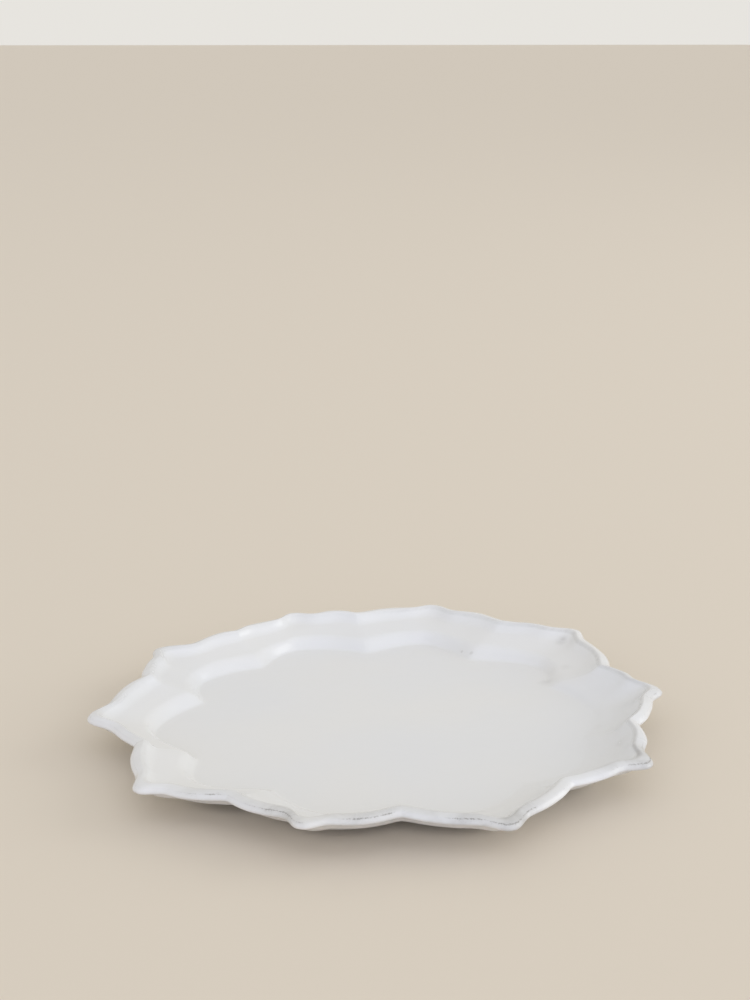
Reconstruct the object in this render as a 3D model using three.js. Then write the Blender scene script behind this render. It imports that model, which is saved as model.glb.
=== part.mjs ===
// Dessert plate with a pointed, scalloped rim: a pressed clay body, a foot ring luted under its floor, and
// three coats of white glaze. Millimetres, +Z up. The origin lies on the table under the plate's centre, and
// one lobe tip points along +X.

import * as THREE from "three";

// Lobes of the rim
const LOBE_COUNT = 10;
const LIP_SWELL = 5; // how far the lip bellies out between two notches
const LIP_POINT = 8; // how far a tip stands out past that belly
const WELL_SWELL = 12.5; // how far the well's edge follows each lobe out
const LIP_SWELL_POWER = 3;
const LIP_POINT_POWER = 3.5;
const WELL_SWELL_POWER = 1.5;

// Section of the clay on a notch line, from the axis out
const WELL_RADIUS = 74;
const FLOOR_THICKNESS = 3.6;
const LOWER_RISER_WIDTH = 8;
const LOWER_RISER_HEIGHT = 5;
const FLANGE_WIDTH = 9.8;
const FLANGE_RISE = 1.8;
const UPPER_RISER_WIDTH = 5.2;
const UPPER_RISER_HEIGHT = 4;
const LIP_WIDTH = 4.3; // from the crest to the lip's edge
const LIP_DROP = 0.7; // from the crest down to the top of the lip's edge
const LIP_THICKNESS = 1.1;
const WALL_THICKNESS = 3.2; // of the flange, straight down
const UNDER_SHIFT = 2; // the underside's lower bends lie this much further out than those of the face
const HOLLOW_INSET = 1; // the hollow under the lip ends this much further in than the flange

// Foot ring
const FOOT_HEIGHT = 3.4; // from the table to the clay floor
const FOOT_WIDTH = 5; // at the floor
const FOOT_INSET = 9; // from the well's edge in to the ring's outside
const FOOT_TAPER = 0.8; // how much each side of the ring draws in towards the table

// Glaze
const GLAZE_THICKNESS = 0.5;
const FUSE_GAP = 0.2; // between the clay and what is fused to it
const SEAM_GAP = 0.4; // between the coats at the lip's edge, where the clay shows
const SEAM_RAISE_DEGREES = 40; // how far up the lip's round edge that gap lies
const BARE_EDGE = 1; // height of the ring's standing edge that is wiped free of glaze

// Hand-pressed unevenness: one value for each lobe, counter-clockwise from +X, for its tip and for the notch
// after it. Lean turns the place about the axis, stray moves it out, and lift raises it.
const LIP_LEAN_DEGREES = {
  tips: [0, 1, 0, -2, 1.5, 4.5, 2, -1.5, 0.5, 0],
  notches: [-2.5, 0, 1.5, -0.5, 0, 2.5, -2.5, -1, 1.5, -1],
};
const LIP_STRAY = {
  tips: [1, 4, 2, -1.5, -1.5, 2, 3.5, -1, 3.5, 2.5],
  notches: [1, 4, 1.5, 0, -1, 0, 0, 0, 1.5, 2],
};
const LIP_LIFT = {
  tips: [0, 0.5, 0, -0.5, -0.5, -0.5, -1.5, 0, -1.5, -0.5],
  notches: [0, 1, 0, 0, 0, -0.5, -0.5, -0.5, -0.5, 0],
};
const WELL_LEAN_DEGREES = {
  tips: [1, -1, -0.5, 2.5, 3, 4, 1.5, 0, 0.5, 1],
  notches: [3.5, 0.5, -1, 1, -0.5, 5.5, 0, 0.5, 1, 1],
};
const WELL_STRAY = {
  tips: [1, 3, 1.5, -0.5, -2, 3, 2.5, -1, 1, 1],
  notches: [3.5, 1.5, -1, 0.5, -1.5, 3, -0.5, 0, 0.5, 1],
};

// Finish
const CLAY_COLOR = "#6f6661";
const GLAZE_COLOR = "#e9e9e7";
const CLAY_ROUGHNESS = 0.85;
const GLAZE_ROUGHNESS = 0.15;

// Fineness of the facets
const STEPS_PER_LOBE = 8;
const RISER_STEPS = 3;
const EDGE_STEPS = 3;

// Heights and radii that follow from the sizes above
const FLOOR_TOP = FOOT_HEIGHT + FLOOR_THICKNESS;
const FOOT_OUTSIDE = WELL_RADIUS - FOOT_INSET;
const FOOT_INSIDE = FOOT_OUTSIDE - FOOT_WIDTH;
const COAT = FUSE_GAP + GLAZE_THICKNESS;
const SEAM_HALF_ANGLE = Math.asin(SEAM_GAP / LIP_THICKNESS); // seen from the centre of the lip's round edge
const SEAM_RAISE = THREE.MathUtils.degToRad(SEAM_RAISE_DEGREES);
const point = (radius, height) => new THREE.Vector2(radius, height);
const wellEdge = point(WELL_RADIUS, FLOOR_TOP);
const riserTop = point(wellEdge.x + LOWER_RISER_WIDTH, wellEdge.y + LOWER_RISER_HEIGHT);
const flangeEnd = point(riserTop.x + FLANGE_WIDTH, riserTop.y + FLANGE_RISE);
const crest = point(flangeEnd.x + UPPER_RISER_WIDTH, flangeEnd.y + UPPER_RISER_HEIGHT);
const lipEdge = point(crest.x + LIP_WIDTH, crest.y - LIP_DROP - LIP_THICKNESS / 2);

// An S-shaped stretch of the section, level at both ends.
function rise(from, to) {
  const middle = (from.x + to.x) / 2;
  const curve = new THREE.CubicBezierCurve(from, point(middle, from.y), point(middle, to.y), to);
  return curve.getPoints(RISER_STEPS);
}

// A stretch of the lip's half-round edge, between two angles from the level, turning downwards.
function lipArc(from, to) {
  const radius = LIP_THICKNESS / 2;
  const curve = new THREE.EllipseCurve(lipEdge.x - radius, lipEdge.y, radius, radius, from, to, true);
  return curve.getPoints(EDGE_STEPS);
}

// Upper face of the clay, from the axis out to the lip's edge.
function facePath() {
  const edge = lipArc(Math.PI / 2, SEAM_RAISE + SEAM_HALF_ANGLE);
  return [point(0, FLOOR_TOP), ...rise(wellEdge, riserTop), ...rise(flangeEnd, crest), ...edge];
}

// Underside of the rim, from the lip's edge in to the flat of the floor.
function rimPath() {
  const edge = lipArc(SEAM_RAISE - SEAM_HALF_ANGLE, -Math.PI / 2);
  const flangeUnder = point(flangeEnd.x - HOLLOW_INSET, flangeEnd.y - WALL_THICKNESS);
  const riserUnder = point(riserTop.x + UNDER_SHIFT, riserTop.y - WALL_THICKNESS);
  const floorUnder = point(wellEdge.x + UNDER_SHIFT, FOOT_HEIGHT);
  return [...edge, ...rise(edge.at(-1), flangeUnder).slice(1), ...rise(riserUnder, floorUnder)];
}

// A point on the foot ring's outer wall, at a height.
function footOuterWall(height) {
  return point(FOOT_OUTSIDE - FOOT_TAPER * (1 - height / FOOT_HEIGHT), height);
}

// A point on the foot ring's inner wall, at a height.
function footInnerWall(height) {
  return point(FOOT_INSIDE + FOOT_TAPER * (1 - height / FOOT_HEIGHT), height);
}

// A path moved sideways by a distance, out of the clay, with its corners kept square.
function offset(path, distance) {
  const normals = path.slice(1).map((end, i) => {
    const along = end.clone().sub(path[i]).normalize();
    return point(-along.y, along.x);
  });
  return path.map((corner, i) => {
    const before = normals[Math.max(i - 1, 0)];
    const after = normals[Math.min(i, normals.length - 1)];
    const square = before.clone().add(after).divideScalar(1 + before.dot(after));
    return corner.clone().addScaledVector(square, distance);
  });
}

// Section of a coat of glaze along a path, from the face against the clay round to its outer face.
function coat(path) {
  return [...offset(path, FUSE_GAP), ...offset(path, COAT).reverse()];
}

// A solid turned about +Z from a section that starts and ends on the axis.
function turned(section) {
  const lathe = new THREE.LatheGeometry(section, LOBE_COUNT * STEPS_PER_LOBE, Math.PI / 2);
  return lathe.rotateX(Math.PI / 2);
}

// A solid turned about +Z from a section that closes on itself.
function turnedRing(section) {
  return turned([...section, section[0]]);
}

// An uneven value at an angle: the tip's at share 0 and the notch's at share 1.
function uneven(values, lobe) {
  const tip = values.tips[lobe.tip % values.tips.length];
  const notch = values.notches[lobe.notch % values.notches.length];
  return THREE.MathUtils.lerp(tip, notch, lobe.share);
}

// The lobe that an angle lies in: its tip, the notch on that side, and the share of the way to that notch.
function lobeAt(angle) {
  const turn = angle / (2 * Math.PI / LOBE_COUNT);
  const tip = Math.round(turn);
  return {
    tip: THREE.MathUtils.euclideanModulo(tip, LOBE_COUNT),
    notch: THREE.MathUtils.euclideanModulo(Math.floor(turn), LOBE_COUNT),
    share: 2 * Math.abs(turn - tip),
  };
}

// Pushes a turned solid out into the lobes. Inside the foot ring it stays round, at the well's edge it takes
// the well's scallops, and from there to the lip it goes over to the lip's points and its unevenness.
function lobed(solid) {
  const places = solid.attributes.position;
  const roundRadius = FOOT_OUTSIDE + COAT;
  for (let i = 0; i < places.count; i += 1) {
    const radius = Math.hypot(places.getX(i), places.getY(i));
    const angle = Math.atan2(places.getY(i), places.getX(i));
    const lobe = lobeAt(angle);
    const follow = THREE.MathUtils.clamp((radius - roundRadius) / (WELL_RADIUS - roundRadius), 0, 1);
    const rim = THREE.MathUtils.clamp((radius - WELL_RADIUS) / (lipEdge.x - WELL_RADIUS), 0, 1);
    const wellPush = WELL_SWELL * (1 - lobe.share ** WELL_SWELL_POWER) + uneven(WELL_STRAY, lobe);
    const lipPush = LIP_SWELL * (1 - lobe.share ** LIP_SWELL_POWER)
      + LIP_POINT * (1 - lobe.share) ** LIP_POINT_POWER
      + uneven(LIP_STRAY, lobe);
    const leanDegrees = THREE.MathUtils.lerp(
      uneven(WELL_LEAN_DEGREES, lobe), uneven(LIP_LEAN_DEGREES, lobe), rim);
    const reach = radius + follow * THREE.MathUtils.lerp(wellPush, lipPush, rim);
    const direction = angle + follow * THREE.MathUtils.degToRad(leanDegrees);
    const lift = rim * uneven(LIP_LIFT, lobe);
    places.setXYZ(i, reach * Math.cos(direction), reach * Math.sin(direction), places.getZ(i) + lift);
  }
  return solid;
}

// Pressed clay: well, risers, flange and lip in one.
function clayBody() {
  const outline = [...facePath(), ...rimPath(), point(0, FOOT_HEIGHT)];
  return lobed(turned(outline.reverse()));
}

// Clay ring under the floor, with a flat standing edge.
function footRing() {
  const top = FOOT_HEIGHT - FUSE_GAP;
  return turnedRing([footInnerWall(0), footOuterWall(0), footOuterWall(top), footInnerWall(top)]);
}

// Coat over the whole upper face.
function faceGlaze() {
  return lobed(turned(coat(facePath())));
}

// Coat from the lip's edge under the rim and down the outside of the foot ring.
function undersideGlaze() {
  const path = [...rimPath(), footOuterWall(FOOT_HEIGHT), footOuterWall(BARE_EDGE)];
  return lobed(turnedRing(coat(path)));
}

// Coat inside the foot ring. Its path ends on the axis, so its section starts there with the outer face.
function recessGlaze() {
  const path = [footInnerWall(BARE_EDGE), footInnerWall(FOOT_HEIGHT), point(0, FOOT_HEIGHT)];
  return turned([...offset(path, COAT).reverse(), ...offset(path, FUSE_GAP)]);
}

// A named sub-part with its own finish.
function piece(name, geometry, color, roughness) {
  const material = new THREE.MeshStandardMaterial({ color, roughness, metalness: 0 });
  const mesh = new THREE.Mesh(geometry, material);
  mesh.name = name;
  return mesh;
}

const plate = new THREE.Group();
plate.add(piece("clay_body", clayBody(), CLAY_COLOR, CLAY_ROUGHNESS));
plate.add(piece("foot_ring", footRing(), CLAY_COLOR, CLAY_ROUGHNESS));
plate.add(piece("face_glaze", faceGlaze(), GLAZE_COLOR, GLAZE_ROUGHNESS));
plate.add(piece("underside_glaze", undersideGlaze(), GLAZE_COLOR, GLAZE_ROUGHNESS));
plate.add(piece("recess_glaze", recessGlaze(), GLAZE_COLOR, GLAZE_ROUGHNESS));

export default plate;
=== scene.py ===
"""A white glazed dessert plate with a pointed, scalloped rim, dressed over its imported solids.

The frame is the part's own, in metres with +Z up: the origin lies on the table under the plate's centre,
and one lobe tip points along +X. Sizes of the plate are written in millimetres, and its meshes are turned
into metres when they are made.
"""
import math

import bpy
import numpy as np
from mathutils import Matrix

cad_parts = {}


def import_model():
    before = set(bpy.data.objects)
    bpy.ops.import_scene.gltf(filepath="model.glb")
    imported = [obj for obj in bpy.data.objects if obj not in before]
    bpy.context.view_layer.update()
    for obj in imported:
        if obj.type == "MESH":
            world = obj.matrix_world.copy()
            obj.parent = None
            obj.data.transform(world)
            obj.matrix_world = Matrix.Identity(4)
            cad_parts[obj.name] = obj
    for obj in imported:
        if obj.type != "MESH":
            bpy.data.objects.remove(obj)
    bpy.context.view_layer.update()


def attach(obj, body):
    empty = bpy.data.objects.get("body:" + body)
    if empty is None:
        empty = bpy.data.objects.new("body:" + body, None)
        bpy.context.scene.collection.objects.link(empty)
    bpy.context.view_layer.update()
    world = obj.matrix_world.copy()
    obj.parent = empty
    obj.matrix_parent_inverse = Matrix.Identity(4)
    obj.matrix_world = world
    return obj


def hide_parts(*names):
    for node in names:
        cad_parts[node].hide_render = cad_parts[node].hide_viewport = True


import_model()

MM = 0.001

# Lobes of the rim
LOBE_COUNT = 10
LIP_SWELL = 6.0
LIP_POINT = 7.2
WELL_SWELL = 12.5
LIP_SWELL_POWER = 2.7
LIP_POINT_POWER = 2.2
SHARP_FOOT = 0.2  # share of the way from the well's edge to the lip at which points and notches begin
WELL_SWELL_POWER = 1.5
LIP_NOTCH_ROUNDING = 0.05  # share of the way from a notch to its tip
WALL_NOTCH_ROUNDING = 0.30
WELL_NOTCH_ROUNDING = 0.10

# Section of the clay on a notch line, from the axis out
WELL_RADIUS = 74.0
FLOOR_THICKNESS = 3.6
LOWER_RISER = np.array([9.5, 5.2])  # width and height
FLANGE = np.array([6.5, 1.4])
UPPER_RISER = np.array([7.3, 4.2])
LOWER_BENDS = (0.30, 0.45)  # where the riser leaves its foot and reaches its top, as shares of its width
UPPER_BENDS = (0.60, 0.80)
UNDER_BENDS = (0.50, 0.50)
SLOPE_BENDS = (0.75, 0.85)  # of the one slope that stands for both risers where the step is lost
LIP_WIDTH = 3.6
LIP_DROP = 0.4
LIP_THICKNESS = 1.2
LIP_FACE_LEAN = 0.9  # how far the lip's lower corner stands out past its upper one
WALL_THICKNESS = 3.2
UNDER_SHIFT = 1.0
HOLLOW_INSET = 1.0

# Foot ring
FOOT_HEIGHT = 3.4
FOOT_WIDTH = 5.0
FOOT_INSET = 9.0
FOOT_TAPER = 0.8
FOOT_CORNER = 0.35  # softening of its corners

# Glaze
GLAZE_THICKNESS = 0.5
FUSE_GAP = 0.2
BARE_EDGE = 1.0
BEND_SOFTENING = 1.1  # how far the glaze rounds off the bends of the wall
EDGE_SOFTENING = 0.35  # and those of the lip
EDGE_REACH = np.array([5.0, 9.0])  # from the seam, over which the first takes over from the second
SEAM_THINNING = 0.12  # how much thinner the coat is at the lip's seam
SEAM_THINNING_REACH = 0.8
SEAM_CRACK = 0.004  # half of the hairline between the two coats
CREST_LINE_INSET = 1.2  # how far inside the crest a soft line of painted shade lies, tinted towards the clay

# Unevenness of a hand-pressed plate, one value for each lobe counter-clockwise from +X: its tip and the
# notch after it. The lip's lean, stray and lift began as a program's fit to the photograph's outline. They
# were rounded, and some were changed.
LIP_LEAN_DEGREES = {
    "tips": [1, 1, 0, -2, 0.5, 4.5, 2, -0.5, -0.5, 0],
    "notches": [-3.5, -1, 1.5, -1, -0.5, 2.5, 0, -1, 0.5, -0.5],
}
LIP_STRAY = {
    "tips": [2, 4.5, 1.5, -2.5, -1.5, 1, 4, 1, 4, 2.5],
    "notches": [2, 5.5, 1.5, 0, 0, 0, 2, 0.5, 2.5, 1.5],
}
LIP_LIFT = {
    "tips": [0, 0.5, 0, -0.5, -0.5, -0.5, -1.5, 0, -2, -0.5],
    "notches": [0, 1, 0, 0, 0, -0.5, -1, -0.5, -0.5, 0],
}
LIP_ROLL = {
    "tips": [0.6, 0.5, 0.3, 0.2, 0.3, 0.4, 0.1, -0.3, -0.3, 0.2],
    "notches": [0.6, 0.4, 0.2, 0.2, 0.4, 0.4, -0.2, -0.3, -0.2, 0.5],
}
# How far the step in the wall is pressed out into one slope: 0 not at all, 1 wholly
STEP_LOSS = {
    "tips": [0.75, 0.15, 0, 0, 0, 0, 0.1, 0.5, 0.75, 0.85],
    "notches": [0.4, 0, 0, 0, 0, 0, 0.3, 0.65, 0.85, 0.85],
}
UNDER_LOSS = 0.3  # share of it that the underside takes part in
WELL_LEAN_DEGREES = {
    "tips": [1, -1, -0.5, 2.5, 3, 4, 1.5, 0, 0.5, 1],
    "notches": [3.5, 0.5, -1, 1, -0.5, 5.5, 0, 0.5, 1, 1],
}
WELL_STRAY = {
    "tips": [0, 3, 1.5, -0.5, -2, 3, 2.5, -1, 1, 0],
    "notches": [3.5, 1.5, -1, 0.5, -1.5, 3, -0.5, 0, 3, 6],
}
# Half width of each point before and after its tip, as a share of the way to the notch
POINT_WIDTH = {
    "before": [0.20, 0.18, 0.22, 0.20, 0.22, 0.24, 0.20, 0.15, 0.16, 0.19],
    "after": [0.20, 0.20, 0.20, 0.20, 0.20, 0.22, 0.15, 0.18, 0.20, 0.22],
}
# How much fuller the lip is halfway between a tip and the notch before or after it
LIP_BELLY = {
    "before": [0.5, 1.5, 0, 1, -1, 0.5, 1.5, 0.5, 0.5, 0],
    "after": [-0.5, -0.5, 2, -0.5, 1, -0.5, 1.5, 2.5, 1, 1],
}
# How much clay shows along the lip: 0 none, 1 a clear dark line. It also sets the lip's tint,
# which is partly painted shade
CLAY_SHOWING = {
    "tips": [0.6, 0.2, 0.1, 0.1, 0.5, 0.4, 0.4, 0.9, 1.0, 1.0],
    "notches": [0.3, 0.2, 0.1, 0.2, 0.2, 0.3, 0.5, 0.7, 0.2, 0.1],
}
# How dark the line of painted shade just inside the crest is, as a tint towards the clay
CREST_SHADE = {
    "tips": [0.6, 1.0, 0.7, 0.3, 0.2, 0.4, 0.5, 0.4, 0.2, 0.9],
    "notches": [0.9, 0.6, 0.1, 0.2, 0.3, 0.3, 0.3, 0.3, 0.3, 1.0],
}
# Pressing waves in the wall: count around, phase, phase for each millimetre out, lift and push
PRESS_WAVES = np.array([
    [13, 0.4, 0.11, 0.22, 0.30],
    [21, 2.1, -0.17, 0.16, 0.25],
    [37, 1.0, 0.23, 0.07, 0.12],
    [58, 3.0, -0.31, 0.03, 0.06],
])
# Dark smudges and dots tinted towards the clay: place, reach and share of clay. The third is painted shade
# on the well's edge beside the notch after the tip on +X
DARK_SPOTS = np.array([
    [87.3, 65.4, 15.2, 3.6, 0.26],
    [86.0, 64.0, 14.6, 5.0, 0.18],
    # painted shade on the well's edge, beside the notch after the tip on +X
    [74.4, 35.0, 8.0, 4.0, 0.14],
    [84.0, 41.5, 12.3, 3.5, 0.08],
    [89.0, -40.0, 12.8, 4.5, 0.10],
    [86.0, -14.7, 10.4, 4.0, 0.05],
    [42.8, 70.5, 9.2, 1.0, 0.35],
    [46.4, 66.4, 10.0, 1.4, 0.30],
    [-92.0, 41.8, 18.1, 2.0, 0.18],
])

# Fineness of the meshes
GLAZE_COLUMNS = 960
CLAY_COLUMNS = 480
FACE_ROWS = 72
UNDER_ROWS = 58
INNER_ROWS = 24
CURVE_POINTS = 60
PATH_STEP = 0.05
BELL_REACH = 4  # how far a softening's weights go, in spreads
TURN_WEIGHT = 60.0  # millimetres of path that count as much as one radian of turning
SHARP_ANGLE_DEGREES = 50
WALL_GAIN = 4.0  # the waves are at full height a quarter of the way from the well's edge to the lip
FAR_AWAY = 50.0  # a distance from seam and crest at which neither shows

# Colours, as linear light
CLAY_DARK = (0.150, 0.145, 0.130, 1)
CLAY_PALE = (0.300, 0.285, 0.260, 1)
GLAZE_WHITE = (0.775, 0.775, 0.765, 1)
GLAZE_COOL = (0.755, 0.765, 0.775, 1)
GLAZE_PIT = (0.160, 0.150, 0.140, 1)
FLOOR_COLOR = (0.740, 0.670, 0.570, 1)

# Noises: features for each metre, detail and roughness
CLAY_CLOUDS = (160.0, 4.0, 0.6)
CLAY_GRIT = (1400.0, 3.0, 0.7)
GLAZE_BREAKS = (70.0, 3.0, 0.6)
GLAZE_FLECKS = (1500.0, 2.0, 0.6)
GLAZE_STREAKS = (320.0, 4.0, 0.7)
GLAZE_CLOUDS = (18.0, 2.0, 0.4)
GLAZE_WAVES = (70.0, 2.0, 0.5)
GLAZE_RIPPLE = (420.0, 2.0, 0.5)
MIDDLE_SPAN = (0.3, 0.7)  # between which most of a noise lies

# Bare clay
CLAY_TONE_SPAN = (0.35, 1.0)
GRIT_IN_CLAY = 0.8
GRIT_UNDER_GLAZE = 0.5
CLAY_ROUGHNESS = 0.85
CLAY_BUMP_HEIGHT = 0.0002  # in metres
CLAY_BUMP_STRENGTH = 0.6

# Clay seen through the glaze, and painted shade tinted towards the clay: distances in millimetres, and
# shares of clay
SHOWING_WEIGHT = 0.5
BARE_SPAN = (0.72, 0.98)
LINE_REACH = (0.30, 0.75)
LINE_FADE = 0.6
LINE_SHARE = 0.8
FLECK_REACH = (2.6, 0.6)
FLECK_SHARE = 0.5
FLECK_SPAN = (0.56, 0.70)
STREAK_SPAN = (0.35, 0.65)
STREAK_SHARE = (0.5, 1.0)
# Painted shade line just inside the crest, tinted towards the clay
CREST_REACH = (1.5, 0.2)
CREST_SHARE = 0.22
# Tint over the lip: partly clay under thin glaze, partly painted shade on the lip's face
LIP_TINT_ABOVE = (-5.5, -3.5)  # from the seam
LIP_TINT_BELOW = (2.6, 1.8)
LIP_TINT_POWER = 2.0
LIP_TINT_SHARE = (0.15, 0.55)
SPOT_RAGGEDNESS = (0.7, 1.5)

# Glaze's white, pits and gloss
CLOUD_SPAN = (0.25, 0.75)
PIT_CELLS = 62.0  # for each metre
PIT_CHOICE = 0.86  # share of the cells that stay without a pit
PIT_SPAN = (0.045, 0.02)
PIT_SHARE = 0.6
GLAZE_ROUGHNESS = (0.17, 0.25)
TINTED_ROUGHNESS = 0.35  # added where the clay tint, painted shade included, is whole
GLAZE_IOR = 1.5
RIPPLE_REACH = (7.0, 1.0)
RIPPLE_SIZE = (0.1, 0.5)
SUNK_HEIGHT = -0.25  # of pits and clay, as a share of the bump's height
GLAZE_BUMP_HEIGHT = 0.0004  # in metres
FACE_BUMP_STRENGTH = 0.25
UNDER_BUMP_STRENGTH = 0.45

# Stage: floor, light and camera, in metres
FLOOR_REACH = 30.0
FLOOR_DROP = 0.0001
FLOOR_ROUGHNESS = 0.7
CAMERA_PLACE = (-0.0533, -0.6248, 0.2766)
CAMERA_PITCH_DEGREES = 15.716  # below the level
CAMERA_HEADING_DEGREES = -4.712  # from +Y, counter-clockwise
CAMERA_LENS = 60.29
SURROUND_LIGHT = (0.66, 0.63, 0.56, 1)
FRONT_LIGHT = (1.33, 1.37, 1.55, 1)
FRONT_SIDE = (0, -1, 0)
FRONT_SPAN = (-0.2, 1.0)  # cosine of the angle from the front, over which its light grows
BACKDROP_COLOR = (0.80, 0.78, 0.74, 1)
WINDOW_PLACE = (2.82, 0.0, 1.03)
WINDOW_SIZE = 2.0
WINDOW_POWER = 24.0
WINDOW_COLOR = (0.98, 1.0, 0.99)

# Heights and radii that follow from the sizes above
COAT = FUSE_GAP + GLAZE_THICKNESS
FLOOR_TOP = FOOT_HEIGHT + FLOOR_THICKNESS
FOOT_OUTSIDE = WELL_RADIUS - FOOT_INSET
FOOT_INSIDE = FOOT_OUTSIDE - FOOT_WIDTH
well_edge = np.array([WELL_RADIUS, FLOOR_TOP])
riser_top = well_edge + LOWER_RISER
flange_end = riser_top + FLANGE
crest = flange_end + UPPER_RISER
lip_bottom = crest + [LIP_WIDTH, -LIP_DROP - LIP_THICKNESS]
lip_top = lip_bottom + [-LIP_FACE_LEAN, LIP_THICKNESS]
crest_share = (crest[0] - WELL_RADIUS) / (lip_bottom[0] - WELL_RADIUS)


def eased(share):
    """Smooth step: three times the share squared, less twice its cube."""
    return share * share * (3 - 2 * share)


def lobe_at(angles, rounding):
    """For each angle its tip, the notch on that side, the share of the way to it, and which side it is.

    The share's corner at the notch is rounded off with a hyperbola, which fills the notch a little.
    """
    turn = angles * LOBE_COUNT / (2 * math.pi)
    tip = np.round(turn).astype(int)
    to_notch = 1 - 2 * np.abs(turn - tip)
    return {
        "tip": tip % LOBE_COUNT,
        "notch": np.floor(turn).astype(int) % LOBE_COUNT,
        "share": np.clip(1 - np.sqrt(to_notch ** 2 + rounding ** 2), 0, 1),
        "is_before": turn < tip,
    }


def uneven(values, lobe):
    """A value that eases over from a lobe's tip to its notch."""
    tips = np.array(values["tips"], float)[lobe["tip"]]
    notches = np.array(values["notches"], float)[lobe["notch"]]
    return tips + (notches - tips) * eased(lobe["share"])


def on_flank(values, lobe):
    """A value of the flank before or after a lobe's tip."""
    before = np.array(values["before"], float)[lobe["tip"]]
    after = np.array(values["after"], float)[lobe["tip"]]
    return np.where(lobe["is_before"], before, after)


def lobed(section, angles, on_face):
    """Points of a turned section, pushed out into the lobes, as one grid of rows by columns.

    Each ring starts round. From the foot ring to the well's edge it takes on the well's scallops, whose
    push is the swell less the swell times the share to a power. From there to the lip it goes over in a
    straight line to the lip's push, a swell made in the same way plus a belly that is a parabola, and to the
    lip's lean, stray and lift. The bell-shaped point and the sharp notch are eased in on the way up to the
    crest. Past the crest the lip rolls down. Between the well's edge and the crest the wall drops from its
    step towards one slope, in full where a row lies on the upper face. Sine waves of a few tenths of a
    millimetre run round it.
    """
    radius = section[:, :1]
    height = section[:, 1:]
    well_lobe = lobe_at(angles, WELL_NOTCH_ROUNDING)
    lip_lobe = lobe_at(angles, LIP_NOTCH_ROUNDING)
    share = lip_lobe["share"]
    round_radius = FOOT_OUTSIDE + COAT
    follow = np.clip((radius - round_radius) / (WELL_RADIUS - round_radius), 0, 1)
    rim = np.clip((radius - WELL_RADIUS) / (lip_bottom[0] - WELL_RADIUS), 0, 1)
    well_push = WELL_SWELL * (1 - well_lobe["share"] ** WELL_SWELL_POWER) + uneven(WELL_STRAY, well_lobe)
    wall_share = lobe_at(angles, WALL_NOTCH_ROUNDING)["share"]
    sharp = eased(np.clip((rim - SHARP_FOOT) / (crest_share - SHARP_FOOT), 0, 1))
    fullness = share ** LIP_SWELL_POWER * sharp + wall_share ** LIP_SWELL_POWER * (1 - sharp)
    belly = on_flank(LIP_BELLY, lip_lobe) * 4 * share * (1 - share)
    point = LIP_POINT * np.exp(-(share / on_flank(POINT_WIDTH, lip_lobe)) ** LIP_POINT_POWER)
    lip_push = LIP_SWELL * (1 - fullness) + belly + point * sharp + uneven(LIP_STRAY, lip_lobe)
    lean = uneven(WELL_LEAN_DEGREES, well_lobe) * (1 - rim) + uneven(LIP_LEAN_DEGREES, lip_lobe) * rim
    count, phase, outward, lift, push = PRESS_WAVES.T[:, :, None, None]
    waves = np.sin(count * angles + phase + outward * radius)
    on_wall = np.clip(WALL_GAIN * rim, 0, 1)
    pushed = well_push * (1 - rim) + lip_push * rim + on_wall * (push * waves).sum(axis=0)
    reach = radius + follow * pushed
    direction = angles + follow * np.radians(lean)
    roll = np.clip((radius - crest[0]) / LIP_WIDTH, 0, 1) * uneven(LIP_ROLL, lip_lobe)
    step_loss = uneven(STEP_LOSS, lip_lobe) * np.where(on_face, 1, UNDER_LOSS)[:, None]
    drop = step_height(radius) * step_loss
    z = height + rim * (uneven(LIP_LIFT, lip_lobe) + (lift * waves).sum(axis=0)) - roll - drop
    return np.stack([reach * np.cos(direction), reach * np.sin(direction), z], axis=-1)


def rise(start, end, bends):
    """An S-shaped stretch, level at both ends: a cubic Bezier curve whose inner points are the two bends."""
    t = np.linspace(0, 1, CURVE_POINTS)[:, None]
    across = end[0] - start[0]
    leaving = np.array([start[0] + bends[0] * across, start[1]])
    arriving = np.array([start[0] + bends[1] * across, end[1]])
    inner = leaving * (1 - t) + arriving * t
    return start * (1 - t) ** 3 + 3 * inner * t * (1 - t) + end * t ** 3


def foot_wall(base, taper, height):
    """A point on a wall of the foot ring, which draws in evenly towards the table."""
    return np.array([[base + taper * (1 - height / FOOT_HEIGHT), height]])


def upper_face():
    """The clay's upper face from the axis to the lip's upper corner: floor, riser, flange, riser, lip."""
    lower = rise(well_edge, riser_top, LOWER_BENDS)
    upper = rise(flange_end, crest, UPPER_BENDS)
    return np.vstack([[[0, FLOOR_TOP]], lower, upper, [lip_top]])


def step_height(radius):
    """How far the coated step of the wall stands above one slope from the well's edge to the crest."""
    slope = np.vstack([[[0, FLOOR_TOP]], rise(well_edge, crest, SLOPE_BENDS), [lip_top]])
    stepped = offset(softened(upper_face(), BEND_SOFTENING), COAT)
    sloped = offset(softened(slope, BEND_SOFTENING), COAT)
    return np.interp(radius, *stepped.T) - np.interp(radius, *sloped.T)


def rim_underside():
    """The clay's underside, from the lip's lower corner in to the flat of the floor."""
    flange_under = flange_end + [-HOLLOW_INSET, -WALL_THICKNESS]
    riser_under = riser_top + [UNDER_SHIFT, -WALL_THICKNESS]
    floor_under = np.array([WELL_RADIUS + UNDER_SHIFT, FOOT_HEIGHT])
    upper = rise(lip_bottom, flange_under, UNDER_BENDS)
    return np.vstack([upper, rise(riser_under, floor_under, UNDER_BENDS)])


def lengths_along(path):
    """Distance of each point of a path from its start, along the path."""
    return np.concatenate([[0], np.cumsum(np.hypot(*np.diff(path, axis=0).T))])


def sampled(path, places, stations):
    """A path's points at given stations, where places gives the station of each of its own points."""
    return np.stack([np.interp(stations, places, path[:, i]) for i in (0, 1)], axis=1)


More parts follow.
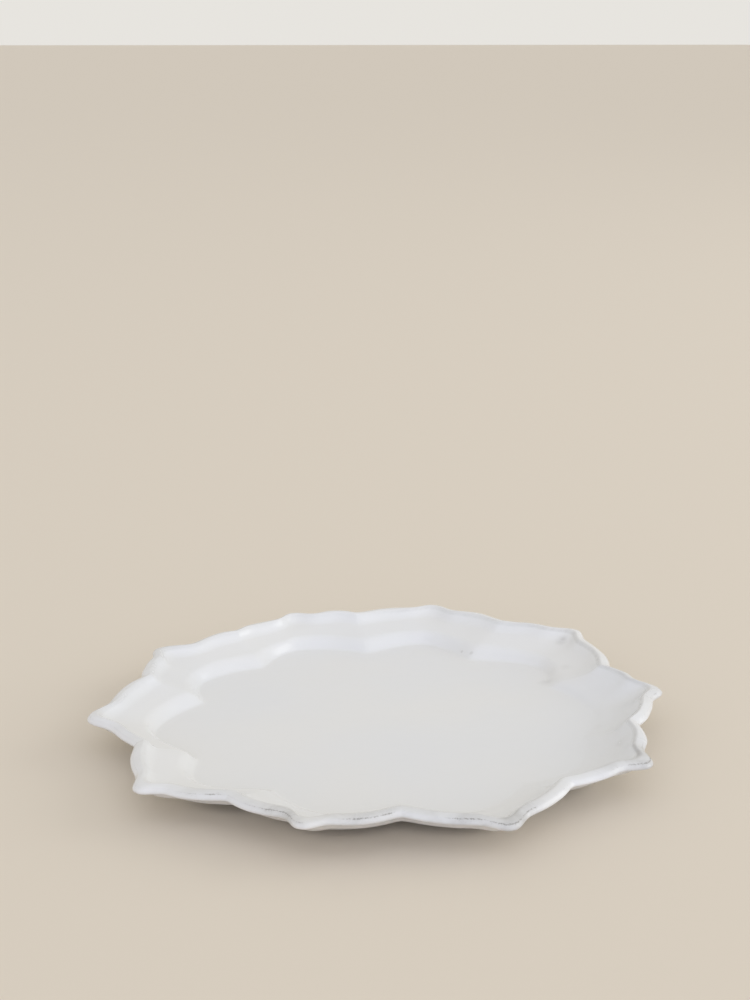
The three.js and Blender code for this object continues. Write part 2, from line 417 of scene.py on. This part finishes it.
def softened(path, spread):
    """A path walked in even steps and averaged with a bell-shaped weight, which rounds off its bends."""
    places = lengths_along(path)
    even = sampled(path, places, np.arange(0, places[-1], PATH_STEP))
    reach = int(BELL_REACH * spread / PATH_STEP)
    bell = np.exp(-0.5 * (np.arange(-reach, reach + 1) * PATH_STEP / spread) ** 2)
    before = 2 * even[0] - even[reach:0:-1]
    after = 2 * even[-1] - even[-2:-reach - 2:-1]
    longer = np.vstack([before, even, after])
    return np.stack([np.convolve(longer[:, i], bell / bell.sum(), "valid") for i in (0, 1)], axis=1)


def offset(path, distance):
    """A path moved sideways out of the clay by a distance, which may change along it."""
    along = np.gradient(path, axis=0)
    along = along / np.hypot(along[:, 0], along[:, 1])[:, None]
    return path + np.stack([-along[:, 1], along[:, 0]], axis=1) * np.reshape(distance, (-1, 1))


def spread_rows(path, count):
    """Indices into a path, in fractions, that are evenly spaced by its length plus its turning."""
    step = np.diff(path, axis=0)
    heading = np.unwrap(np.arctan2(step[:, 1], step[:, 0]))
    turning = np.abs(np.diff(heading, prepend=heading[0]))
    weight = np.concatenate([[0], np.cumsum(np.hypot(step[:, 0], step[:, 1]) + TURN_WEIGHT * turning)])
    return np.interp(np.linspace(0, weight[-1], count), weight, np.arange(len(path)))


def thinned(path, count):
    """A path with fewer points, spaced by its length plus its turning."""
    return sampled(path, np.arange(len(path)), spread_rows(path, count))


def add_values(mesh, label, values):
    """Keeps one value for each point of a mesh as an attribute."""
    attribute = mesh.attributes.new(label, "FLOAT", "POINT")
    attribute.data.foreach_set("value", values.astype(np.float32))


def turned_mesh(name, section, on_face, columns, material, row_values=None, column_values=None):
    """A closed skin made by turning a section about the axis and pushing it out into the lobes.

    A section that starts and ends on the axis gets a fan of triangles at each end. Any other section closes
    on itself. Its rows on the plate's upper face are marked. Row values and column values become attributes
    of the mesh's points.
    """
    angles = np.arange(columns) * (2 * math.pi / columns)
    has_poles = section[0, 0] < PATH_STEP
    poles = section[[0, -1]] if has_poles else section[:0]
    rings = section[1:-1] if has_poles else section
    grid = lobed(rings, angles, on_face[1:-1] if has_poles else on_face)
    rows = len(rings)
    index = np.arange(rows * columns).reshape(rows, columns)
    index = index if has_poles else np.vstack([index, index[:1]])
    beside = np.roll(index, -1, axis=1)
    quads = np.stack([index[:-1], index[1:], beside[1:], beside[:-1]], axis=-1).reshape(-1, 4)
    faces = quads.tolist()
    if has_poles:
        first_pole = np.full(columns, rows * columns)
        faces += np.stack([first_pole, index[0], beside[0]], axis=-1).tolist()
        faces += np.stack([first_pole + 1, beside[-1], index[-1]], axis=-1).tolist()
    pole_points = np.column_stack([np.zeros((len(poles), 2)), poles[:, 1]])
    points = np.vstack([grid.reshape(-1, 3), pole_points]) * MM
    mesh = bpy.data.meshes.new(name)
    mesh.from_pydata(points.tolist(), [], faces)
    mesh.polygons.foreach_set("use_smooth", np.ones(len(mesh.polygons), bool))
    mesh.set_sharp_from_angle(angle=math.radians(SHARP_ANGLE_DEGREES))
    for label, values in (row_values or {}).items():
        ring_values = values[1:-1] if has_poles else values
        pole_values = values[[0, -1]] if has_poles else values[:0]
        add_values(mesh, label, np.concatenate([np.repeat(ring_values, columns), pole_values]))
    for label, values in (column_values or {}).items():
        around = uneven(values, lobe_at(angles, LIP_NOTCH_ROUNDING))
        pole_values = np.full(len(poles), around.mean())
        add_values(mesh, label, np.concatenate([np.tile(around, rows), pole_values]))
    mesh.materials.append(material)
    made = bpy.data.objects.new(name, mesh)
    bpy.context.scene.collection.objects.link(made)
    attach(made, "root")
    return made


def node(tree, kind, inputs=None, **settings):
    """A new shader node with its settings, and each input set to a value or linked to a socket."""
    made = tree.nodes.new(kind)
    for key, value in settings.items():
        setattr(made, key, value)
    for key, value in (inputs or {}).items():
        if isinstance(value, bpy.types.NodeSocket):
            tree.links.new(value, made.inputs[key])
        else:
            made.inputs[key].default_value = value
    return made


def noise(tree, place, scale, detail, roughness):
    """Noise at a number of features for each metre."""
    settings = {"Vector": place, "Scale": scale, "Detail": detail, "Roughness": roughness}
    return node(tree, "ShaderNodeTexNoise", settings).outputs[0]


def math_of(tree, operation, first, second=0.0):
    """A sum, product or other operation on two values."""
    return node(tree, "ShaderNodeMath", {0: first, 1: second}, operation=operation).outputs[0]


def ramp(tree, value, span, onto=(0.0, 1.0)):
    """A value eased from one span onto another and held at its ends."""
    inputs = {"Value": value, "From Min": span[0], "From Max": span[1], "To Min": onto[0], "To Max": onto[1]}
    return node(tree, "ShaderNodeMapRange", inputs, interpolation_type="SMOOTHSTEP").outputs[0]


def blend(tree, share, first, second):
    """A colour between two colours."""
    return node(tree, "ShaderNodeMix", {0: share, 6: first, 7: second}, data_type="RGBA").outputs[2]


def new_group(name, inputs, outputs):
    """An empty shader node group with named sockets, and its input and output nodes."""
    group = bpy.data.node_groups.new(name, "ShaderNodeTree")
    for label, kind in inputs.items():
        group.interface.new_socket(label, in_out="INPUT", socket_type=kind)
    for label, kind in outputs.items():
        group.interface.new_socket(label, in_out="OUTPUT", socket_type=kind)
    return group, group.nodes.new("NodeGroupInput"), group.nodes.new("NodeGroupOutput")


def fill_outputs(group, end, sockets):
    """Links a group's results to its outputs."""
    for label, socket in sockets.items():
        group.links.new(socket, end.inputs[label])


def clay_grain():
    """Fired clay: soft clouds between two greys, with fine grit that also stands out a little."""
    outputs = {"Color": "NodeSocketColor", "Height": "NodeSocketFloat"}
    group, start, end = new_group("clay_grain", {"Grit": "NodeSocketFloat"}, outputs)
    place = node(group, "ShaderNodeTexCoord").outputs["Object"]
    clouds = noise(group, place, *CLAY_CLOUDS)
    grit = noise(group, place, *CLAY_GRIT)
    tone = math_of(group, "ADD", clouds, math_of(group, "MULTIPLY", grit, start.outputs["Grit"]))
    color = blend(group, ramp(group, tone, CLAY_TONE_SPAN), CLAY_DARK, CLAY_PALE)
    fill_outputs(group, end, {"Color": color, "Height": tone})
    return group


def painted_crest_shade(group, start, place):
    """Share of clay tint in a soft, streaky line of painted shade just inside the crest."""
    gap = math_of(group, "ABSOLUTE", math_of(group, "ADD", start.outputs["Crest"], CREST_LINE_INSET))
    streaks = ramp(group, noise(group, place, *GLAZE_STREAKS), STREAK_SPAN, STREAK_SHARE)
    near = math_of(group, "MULTIPLY", ramp(group, gap, CREST_REACH, (0.0, CREST_SHARE)), streaks)
    return math_of(group, "MULTIPLY", near, start.outputs["Crest Showing"])


def clay_and_shade_at_lip(group, start, place, breaks, seam_gap):
    """Share of clay along the lip, with painted shade on the lip's face and just inside the crest.

    It shows as a broken line at the seam, whose half width is a noise raised by the share of clay showing,
    as flecks beside that line, and as a tint that grows with a power of that share, partly clay under thin
    glaze and partly painted shade on the lip's face. A line of painted shade just inside the crest is added.
    """
    showing = start.outputs["Showing"]
    seam = start.outputs["Seam"]
    flecks = noise(group, place, *GLAZE_FLECKS)
    bare = math_of(group, "ADD", breaks, math_of(group, "MULTIPLY", showing, SHOWING_WEIGHT))
    strength = ramp(group, bare, BARE_SPAN)
    line_reach = math_of(group, "MULTIPLY", strength, ramp(group, flecks, MIDDLE_SPAN, LINE_REACH))
    within_line = math_of(group, "SUBTRACT", line_reach, seam_gap)
    seam_line = ramp(group, within_line, (0.0, LINE_FADE), (0.0, LINE_SHARE))
    near_seam = math_of(group, "MULTIPLY", ramp(group, seam_gap, FLECK_REACH, (0.0, FLECK_SHARE)), strength)
    fleck_tint = math_of(group, "MULTIPLY", ramp(group, flecks, FLECK_SPAN), near_seam)
    # Tint over the lip's top and face: partly clay under thin glaze, partly painted shade on the face
    on_lip = math_of(group, "MINIMUM", ramp(group, seam, LIP_TINT_ABOVE), ramp(group, seam, LIP_TINT_BELOW))
    lip_thin_glaze_and_shade = math_of(group, "MULTIPLY", on_lip, math_of(group, "POWER", showing, LIP_TINT_POWER))
    lip_tint = math_of(group, "MULTIPLY", lip_thin_glaze_and_shade, ramp(group, breaks, MIDDLE_SPAN, LIP_TINT_SHARE))
    soft_tint = math_of(group, "ADD", painted_crest_shade(group, start, place), lip_tint)
    return math_of(group, "MAXIMUM", seam_line, math_of(group, "MAXIMUM", soft_tint, fleck_tint))


def with_dark_spots(group, place, breaks, clay_and_shade_share):
    """Share of clay, raised in each ragged dark spot; the one on the well's edge beside a notch is painted
    shade.
    """
    for x, y, z, reach, share in DARK_SPOTS.tolist():
        middle = (x * MM, y * MM, z * MM)
        away = node(group, "ShaderNodeVectorMath", {0: place, 1: middle}, operation="DISTANCE")
        raggedness = ramp(group, breaks, MIDDLE_SPAN, SPOT_RAGGEDNESS)
        ragged = math_of(group, "MULTIPLY", away.outputs["Value"], raggedness)
        spot = ramp(group, ragged, (reach * MM, 0.0), (0.0, share))
        clay_and_shade_share = math_of(group, "MAXIMUM", clay_and_shade_share, spot)
    return clay_and_shade_share


def pits(group, place):
    """Small round pits in the middle of a few cells, which are chosen by the red of their random colour."""
    cells = node(group, "ShaderNodeTexVoronoi", {"Vector": place, "Scale": PIT_CELLS})
    channels = node(group, "ShaderNodeSeparateColor", {"Color": cells.outputs["Color"]})
    chosen = math_of(group, "GREATER_THAN", channels.outputs[0], PIT_CHOICE)
    return math_of(group, "MULTIPLY", ramp(group, cells.outputs["Distance"], PIT_SPAN), chosen)


def milky_glaze(clay):
    """White glaze over clay, which shows through at the lip and in dark spots. Painted shade darkens a line
    just inside the crest, part of the lip's face and one spot.

    The white is clouded with a cooler white, a few dark pits lie in it, and its height has slow waves and a
    ripple.
    """
    labels = ("Seam", "Crest", "Showing", "Crest Showing")
    outputs = {"Color": "NodeSocketColor", "Roughness": "NodeSocketFloat", "Height": "NodeSocketFloat"}
    group, start, end = new_group("milky_glaze", dict.fromkeys(labels, "NodeSocketFloat"), outputs)
    place = node(group, "ShaderNodeTexCoord").outputs["Object"]
    breaks = noise(group, place, *GLAZE_BREAKS)
    seam_gap = math_of(group, "ABSOLUTE", start.outputs["Seam"])
    at_lip = clay_and_shade_at_lip(group, start, place, breaks, seam_gap)
    clay_and_shade_share = with_dark_spots(group, place, breaks, at_lip)
    clay_node = node(group, "ShaderNodeGroup", {"Grit": GRIT_UNDER_GLAZE}, node_tree=clay)
    clouds = noise(group, place, *GLAZE_CLOUDS)
    white = blend(group, ramp(group, clouds, CLOUD_SPAN), GLAZE_WHITE, GLAZE_COOL)
    pit = pits(group, place)
    pitted = blend(group, math_of(group, "MULTIPLY", pit, PIT_SHARE), white, GLAZE_PIT)
    color = blend(group, clay_and_shade_share, pitted, clay_node.outputs["Color"])
    sheen = ramp(group, clouds, MIDDLE_SPAN, GLAZE_ROUGHNESS)
    roughness = math_of(group, "ADD", sheen, math_of(group, "MULTIPLY", clay_and_shade_share, TINTED_ROUGHNESS))
    waves = noise(group, place, *GLAZE_WAVES)
    ripple_size = ramp(group, seam_gap, RIPPLE_REACH, RIPPLE_SIZE)
    ripple = math_of(group, "MULTIPLY", noise(group, place, *GLAZE_RIPPLE), ripple_size)
    sunk = math_of(group, "MULTIPLY", math_of(group, "ADD", pit, clay_and_shade_share), SUNK_HEIGHT)
    height = math_of(group, "ADD", math_of(group, "ADD", waves, ripple), sunk)
    fill_outputs(group, end, {"Color": color, "Roughness": roughness, "Height": height})
    return group


def shaded(name):
    """A new material with its shader."""
    material = bpy.data.materials.new(name)
    material.use_nodes = True
    return material, material.node_tree, material.node_tree.nodes["Principled BSDF"]


def bumped(tree, shader, height, distance, strength):
    """Feeds a height, times a distance in metres, into a shader's normal."""
    bump = node(tree, "ShaderNodeBump", {"Height": height, "Distance": distance, "Strength": strength})
    tree.links.new(bump.outputs[0], shader.inputs["Normal"])


def glaze_material(name, glaze, wave_strength):
    """Glossy white glaze that reads the mesh's seam, crest, clay and painted crest shade attributes."""
    material, tree, shader = shaded(name)
    inputs = {}
    for label in ("Seam", "Crest", "Showing", "Crest Showing"):
        name_on_mesh = label.lower().replace(" ", "_")
        inputs[label] = node(tree, "ShaderNodeAttribute", attribute_name=name_on_mesh).outputs["Fac"]
    skin = node(tree, "ShaderNodeGroup", inputs, node_tree=glaze)
    tree.links.new(skin.outputs["Color"], shader.inputs["Base Color"])
    tree.links.new(skin.outputs["Roughness"], shader.inputs["Roughness"])
    shader.inputs["IOR"].default_value = GLAZE_IOR
    bumped(tree, shader, skin.outputs["Height"], GLAZE_BUMP_HEIGHT, wave_strength)
    return material


def clay_material(name, clay):
    """Bare fired clay, matte and gritty."""
    material, tree, shader = shaded(name)
    grain = node(tree, "ShaderNodeGroup", {"Grit": GRIT_IN_CLAY}, node_tree=clay)
    tree.links.new(grain.outputs["Color"], shader.inputs["Base Color"])
    shader.inputs["Roughness"].default_value = CLAY_ROUGHNESS
    bumped(tree, shader, grain.outputs["Height"], CLAY_BUMP_HEIGHT, CLAY_BUMP_STRENGTH)
    return material


clay_group = clay_grain()
glaze_group = milky_glaze(clay_group)
face_finish = glaze_material("white_face_glaze", glaze_group, FACE_BUMP_STRENGTH)
under_finish = glaze_material("white_underside_glaze", glaze_group, UNDER_BUMP_STRENGTH)
clay_finish = clay_material("bare_clay", clay_group)


def coats():
    """The outer and inner faces of the two coats that meet at the lip's seam, and each point's way from it.

    Face and underside are one path, softened and moved out of the clay by the coat, a little less at the
    seam.
    """
    face = upper_face()
    outside_foot = [foot_wall(FOOT_OUTSIDE, -FOOT_TAPER, height) for height in (FOOT_HEIGHT, BARE_EDGE)]
    path = np.vstack([face, rim_underside(), *outside_foot])
    seam_station = lengths_along(path)[len(face) - 1]
    edge = softened(path, EDGE_SOFTENING)
    from_seam = np.arange(len(edge)) * PATH_STEP - seam_station
    past_edge = np.clip((-from_seam - EDGE_REACH[0]) / (EDGE_REACH[1] - EDGE_REACH[0]), 0, 1)
    soft = edge + (softened(path, BEND_SOFTENING) - edge) * eased(past_edge)[:, None]
    thickness = COAT - SEAM_THINNING * np.exp(-(from_seam / SEAM_THINNING_REACH) ** 2)
    return offset(soft, thickness), offset(soft, FUSE_GAP), from_seam


def coat_section(outer, inner, from_seam, start, end, rows):
    """The section of a coat between two distances from the seam, and the distance of each of its rows.

    It runs out along the coat's outer face and back along its inner one.
    """
    between = from_seam[(from_seam > start) & (from_seam < end)]
    stations = np.concatenate([[start], between, [end]])
    outer_rows = spread_rows(sampled(outer, from_seam, stations), rows)
    inner_rows = spread_rows(sampled(inner, from_seam, stations), INNER_ROWS)[::-1]
    outer_places = np.interp(outer_rows, np.arange(len(stations)), stations)
    inner_places = np.interp(inner_rows, np.arange(len(stations)), stations)
    section = np.vstack([sampled(outer, from_seam, outer_places), sampled(inner, from_seam, inner_places)])
    return section, np.concatenate([outer_places, inner_places])


outer_path, inner_path, seam_distance = coats()
crest_station = seam_distance[np.argmax(outer_path[:, 1])]
# The crest's values set a painted shade line just inside the crest
showing_and_shade_on_lobes = {"showing": CLAY_SHOWING, "crest_showing": CREST_SHADE}

face_section, face_seam = coat_section(
    outer_path, inner_path, seam_distance, seam_distance[0], -SEAM_CRACK, FACE_ROWS)
face_glaze = turned_mesh(
    "face_glaze_skin", face_section, face_seam < 0, GLAZE_COLUMNS, face_finish,
    {"seam": face_seam, "crest": face_seam - crest_station}, showing_and_shade_on_lobes)
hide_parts("face_glaze")

under_section, under_seam = coat_section(
    outer_path, inner_path, seam_distance, SEAM_CRACK, seam_distance[-1], UNDER_ROWS)
underside_glaze = turned_mesh(
    "underside_glaze_skin", under_section, under_seam < 0, GLAZE_COLUMNS, under_finish,
    {"seam": under_seam, "crest": np.full(len(under_seam), FAR_AWAY)}, showing_and_shade_on_lobes)
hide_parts("underside_glaze")

inside_foot = [foot_wall(FOOT_INSIDE, FOOT_TAPER, height) for height in (BARE_EDGE, FOOT_HEIGHT)]
recess_path = softened(np.vstack([*inside_foot, [[0, FOOT_HEIGHT]]]), FOOT_CORNER)
recess_inner = offset(recess_path, FUSE_GAP)[::-1]
recess_outer = offset(recess_path, COAT)
recess_section = np.vstack([
    [[0, recess_inner[0, 1]]],
    thinned(recess_inner, INNER_ROWS)[1:],
    thinned(recess_outer, INNER_ROWS)[:-1],
    [[0, recess_outer[-1, 1]]]])
far_rows = np.full(len(recess_section), FAR_AWAY)
recess_glaze = turned_mesh(
    "recess_glaze_skin", recess_section, far_rows < 0, CLAY_COLUMNS, under_finish,
    {"seam": far_rows, "crest": far_rows}, showing_and_shade_on_lobes)
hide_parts("recess_glaze")

clay_path = softened(np.vstack([upper_face(), rim_underside(), [[0, FOOT_HEIGHT]]]), FOOT_CORNER)
clay_rows = thinned(clay_path, FACE_ROWS)
clay_rows[[0, -1], 0] = 0
above_lip = np.arange(len(clay_rows)) < np.argmax(clay_rows[:, 0])
clay_body = turned_mesh("clay_body_core", clay_rows, above_lip, CLAY_COLUMNS, clay_finish)
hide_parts("clay_body")

ring_top = FOOT_HEIGHT - FUSE_GAP
ring_corners = np.vstack([
    foot_wall(FOOT_INSIDE, FOOT_TAPER, ring_top / 2), foot_wall(FOOT_INSIDE, FOOT_TAPER, 0),
    foot_wall(FOOT_OUTSIDE, -FOOT_TAPER, 0), foot_wall(FOOT_OUTSIDE, -FOOT_TAPER, ring_top),
    foot_wall(FOOT_INSIDE, FOOT_TAPER, ring_top), foot_wall(FOOT_INSIDE, FOOT_TAPER, ring_top / 2)])
ring_rows = thinned(softened(ring_corners, FOOT_CORNER), INNER_ROWS)[:-1]
on_underside = np.zeros(len(ring_rows), bool)
foot_ring = turned_mesh(
    "foot_ring_clay", ring_rows, on_underside, CLAY_COLUMNS, clay_finish)
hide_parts("foot_ring")


def floor():
    """A level square far wider than the plate."""
    corner = np.array([[-1, -1], [1, -1], [1, 1], [-1, 1]]) * FLOOR_REACH
    mesh = bpy.data.meshes.new("floor")
    mesh.from_pydata(np.column_stack([corner, np.full(4, -FLOOR_DROP)]).tolist(), [], [[0, 1, 2, 3]])
    material, _, shader = shaded("pale_floor")
    shader.inputs["Base Color"].default_value = FLOOR_COLOR
    shader.inputs["Roughness"].default_value = FLOOR_ROUGHNESS
    mesh.materials.append(material)
    made = bpy.data.objects.new("floor", mesh)
    bpy.context.scene.collection.objects.link(made)


def softbox(name, place, size, power, color):
    """A square lamp that faces the plate."""
    lamp = bpy.data.lights.new(name, "AREA")
    lamp.size = size
    lamp.energy = power
    lamp.color = color
    made = bpy.data.objects.new(name, lamp)
    made.location = place
    away = made.location.normalized()
    made.rotation_euler = away.to_track_quat("Z", "Y").to_euler()
    bpy.context.scene.collection.objects.link(made)


def camera():
    """The camera at the photograph's place, looking down at the plate."""
    data = bpy.data.cameras.new("camera")
    data.lens = CAMERA_LENS
    made = bpy.data.objects.new("camera", data)
    made.location = CAMERA_PLACE
    made.rotation_euler = (
        math.radians(90 - CAMERA_PITCH_DEGREES), 0, math.radians(CAMERA_HEADING_DEGREES))
    bpy.context.scene.collection.objects.link(made)
    bpy.context.scene.camera = made


def world():
    """A surround that grows brighter and cooler to the front, and a plain backdrop where it is seen."""
    made = bpy.data.worlds.new("surround")
    made.use_nodes = True
    tree = made.node_tree
    rays = tree.nodes.new("ShaderNodeLightPath").outputs
    mirrored = math_of(tree, "MAXIMUM", rays["Is Glossy Ray"], rays["Is Transmission Ray"])
    seen = math_of(tree, "MAXIMUM", rays["Is Camera Ray"], mirrored)
    towards = node(tree, "ShaderNodeTexCoord").outputs["Generated"]
    facing = node(tree, "ShaderNodeVectorMath", {0: towards, 1: FRONT_SIDE}, operation="DOT_PRODUCT")
    front = ramp(tree, facing.outputs["Value"], FRONT_SPAN)
    light = blend(tree, front, SURROUND_LIGHT, FRONT_LIGHT)
    lighting = node(tree, "ShaderNodeBackground", {"Color": light})
    backdrop = node(tree, "ShaderNodeBackground", {"Color": BACKDROP_COLOR})
    both = node(tree, "ShaderNodeMixShader", {0: seen, 1: lighting.outputs[0], 2: backdrop.outputs[0]})
    tree.links.new(both.outputs[0], tree.nodes["World Output"].inputs["Surface"])
    bpy.context.scene.world = made


floor()
softbox("window_light", WINDOW_PLACE, WINDOW_SIZE, WINDOW_POWER, WINDOW_COLOR)
camera()
world()
bpy.context.scene.view_settings.view_transform = "Standard"
